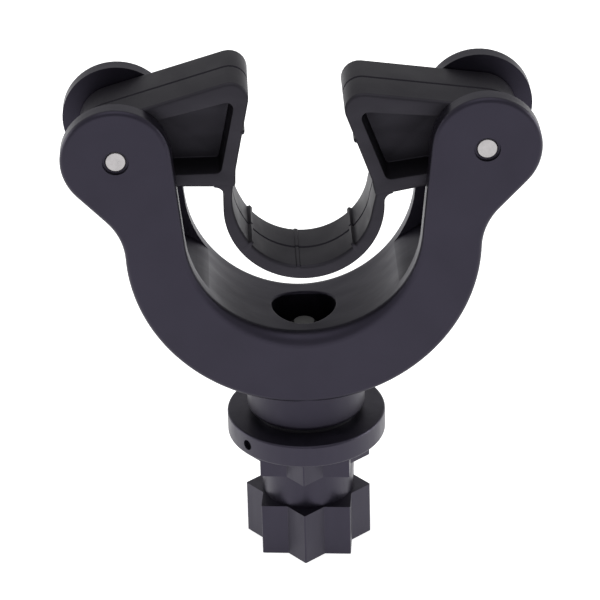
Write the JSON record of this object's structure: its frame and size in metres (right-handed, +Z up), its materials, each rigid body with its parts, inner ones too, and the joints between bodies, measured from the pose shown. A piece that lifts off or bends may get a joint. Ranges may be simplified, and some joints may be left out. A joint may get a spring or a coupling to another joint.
{
  "type": "rod holder",
  "caption": "U-shaped rod and paddle holder with pinned elastomer jaws, a sling strap and a swivelling star spigot.",
  "frame": {"origin": "on the spigot's axis at the underside of its flange", "axes": "+X along the line through both pivot pins, +Y away from the front face, +Z up along the spigot's axis"},
  "size_m": [0.1098, 0.0382, 0.1264],
  "materials": {
    "yoke_nylon": "glass-filled nylon, fine satin moulding texture",
    "spigot_nylon": "glass-filled nylon, fine satin moulding texture",
    "jaw_elastomer": "matte thermoplastic elastomer",
    "ring_acetal": "smooth black acetal",
    "stainless_steel": "turned stainless steel"
  },
  "bodies": {
    "spigot": {"star_spigot": "spigot_nylon", "centre_bolt": "stainless_steel", "flat_washer": "stainless_steel", "lock_nut": "stainless_steel", "friction_ring": "ring_acetal"},
    "yoke": {"yoke": "yoke_nylon", "left_pivot_pin": "stainless_steel", "right_pivot_pin": "stainless_steel"},
    "left_jaw": {"left_jaw": "jaw_elastomer"},
    "right_jaw": {"right_jaw": "jaw_elastomer"},
    "left_strap": {"left_strap": "jaw_elastomer"},
    "right_strap": {"right_strap": "jaw_elastomer"}
  },
  "joints": [
    {"name": "yoke_swivel", "type": "hinge", "parent": "spigot", "child": "yoke", "pos_m": [0, 0, 0.0067], "axis": [0, 0, 1], "continuous": true},
    {"name": "left_jaw_pivot", "type": "hinge", "parent": "yoke", "child": "left_jaw", "pos_m": [-0.0422, 0, 0.08], "axis": [0, 1, 0], "range_deg": [-20, 14], "stiffness_Nm_per_rad": 0.6},
    {"name": "right_jaw_pivot", "type": "hinge", "parent": "yoke", "child": "right_jaw", "pos_m": [0.0422, 0, 0.08], "axis": [0, -1, 0], "range_deg": [-20, 14], "stiffness_Nm_per_rad": 0.6},
    {"name": "left_strap_flex", "type": "hinge", "parent": "left_jaw", "child": "left_strap", "pos_m": [-0.0155, 0, 0.08], "axis": [0, -1, 0], "range_deg": [-20, 14]},
    {"name": "right_strap_flex", "type": "hinge", "parent": "right_jaw", "child": "right_strap", "pos_m": [0.0155, 0, 0.08], "axis": [0, 1, 0], "range_deg": [-20, 14]}
  ],
  "couplings": [
    {"joint": "right_jaw_pivot", "follows": "left_jaw_pivot", "ratio": 1},
    {"joint": "left_strap_flex", "follows": "left_jaw_pivot", "ratio": 1},
    {"joint": "right_strap_flex", "follows": "left_jaw_pivot", "ratio": 1}
  ]
}
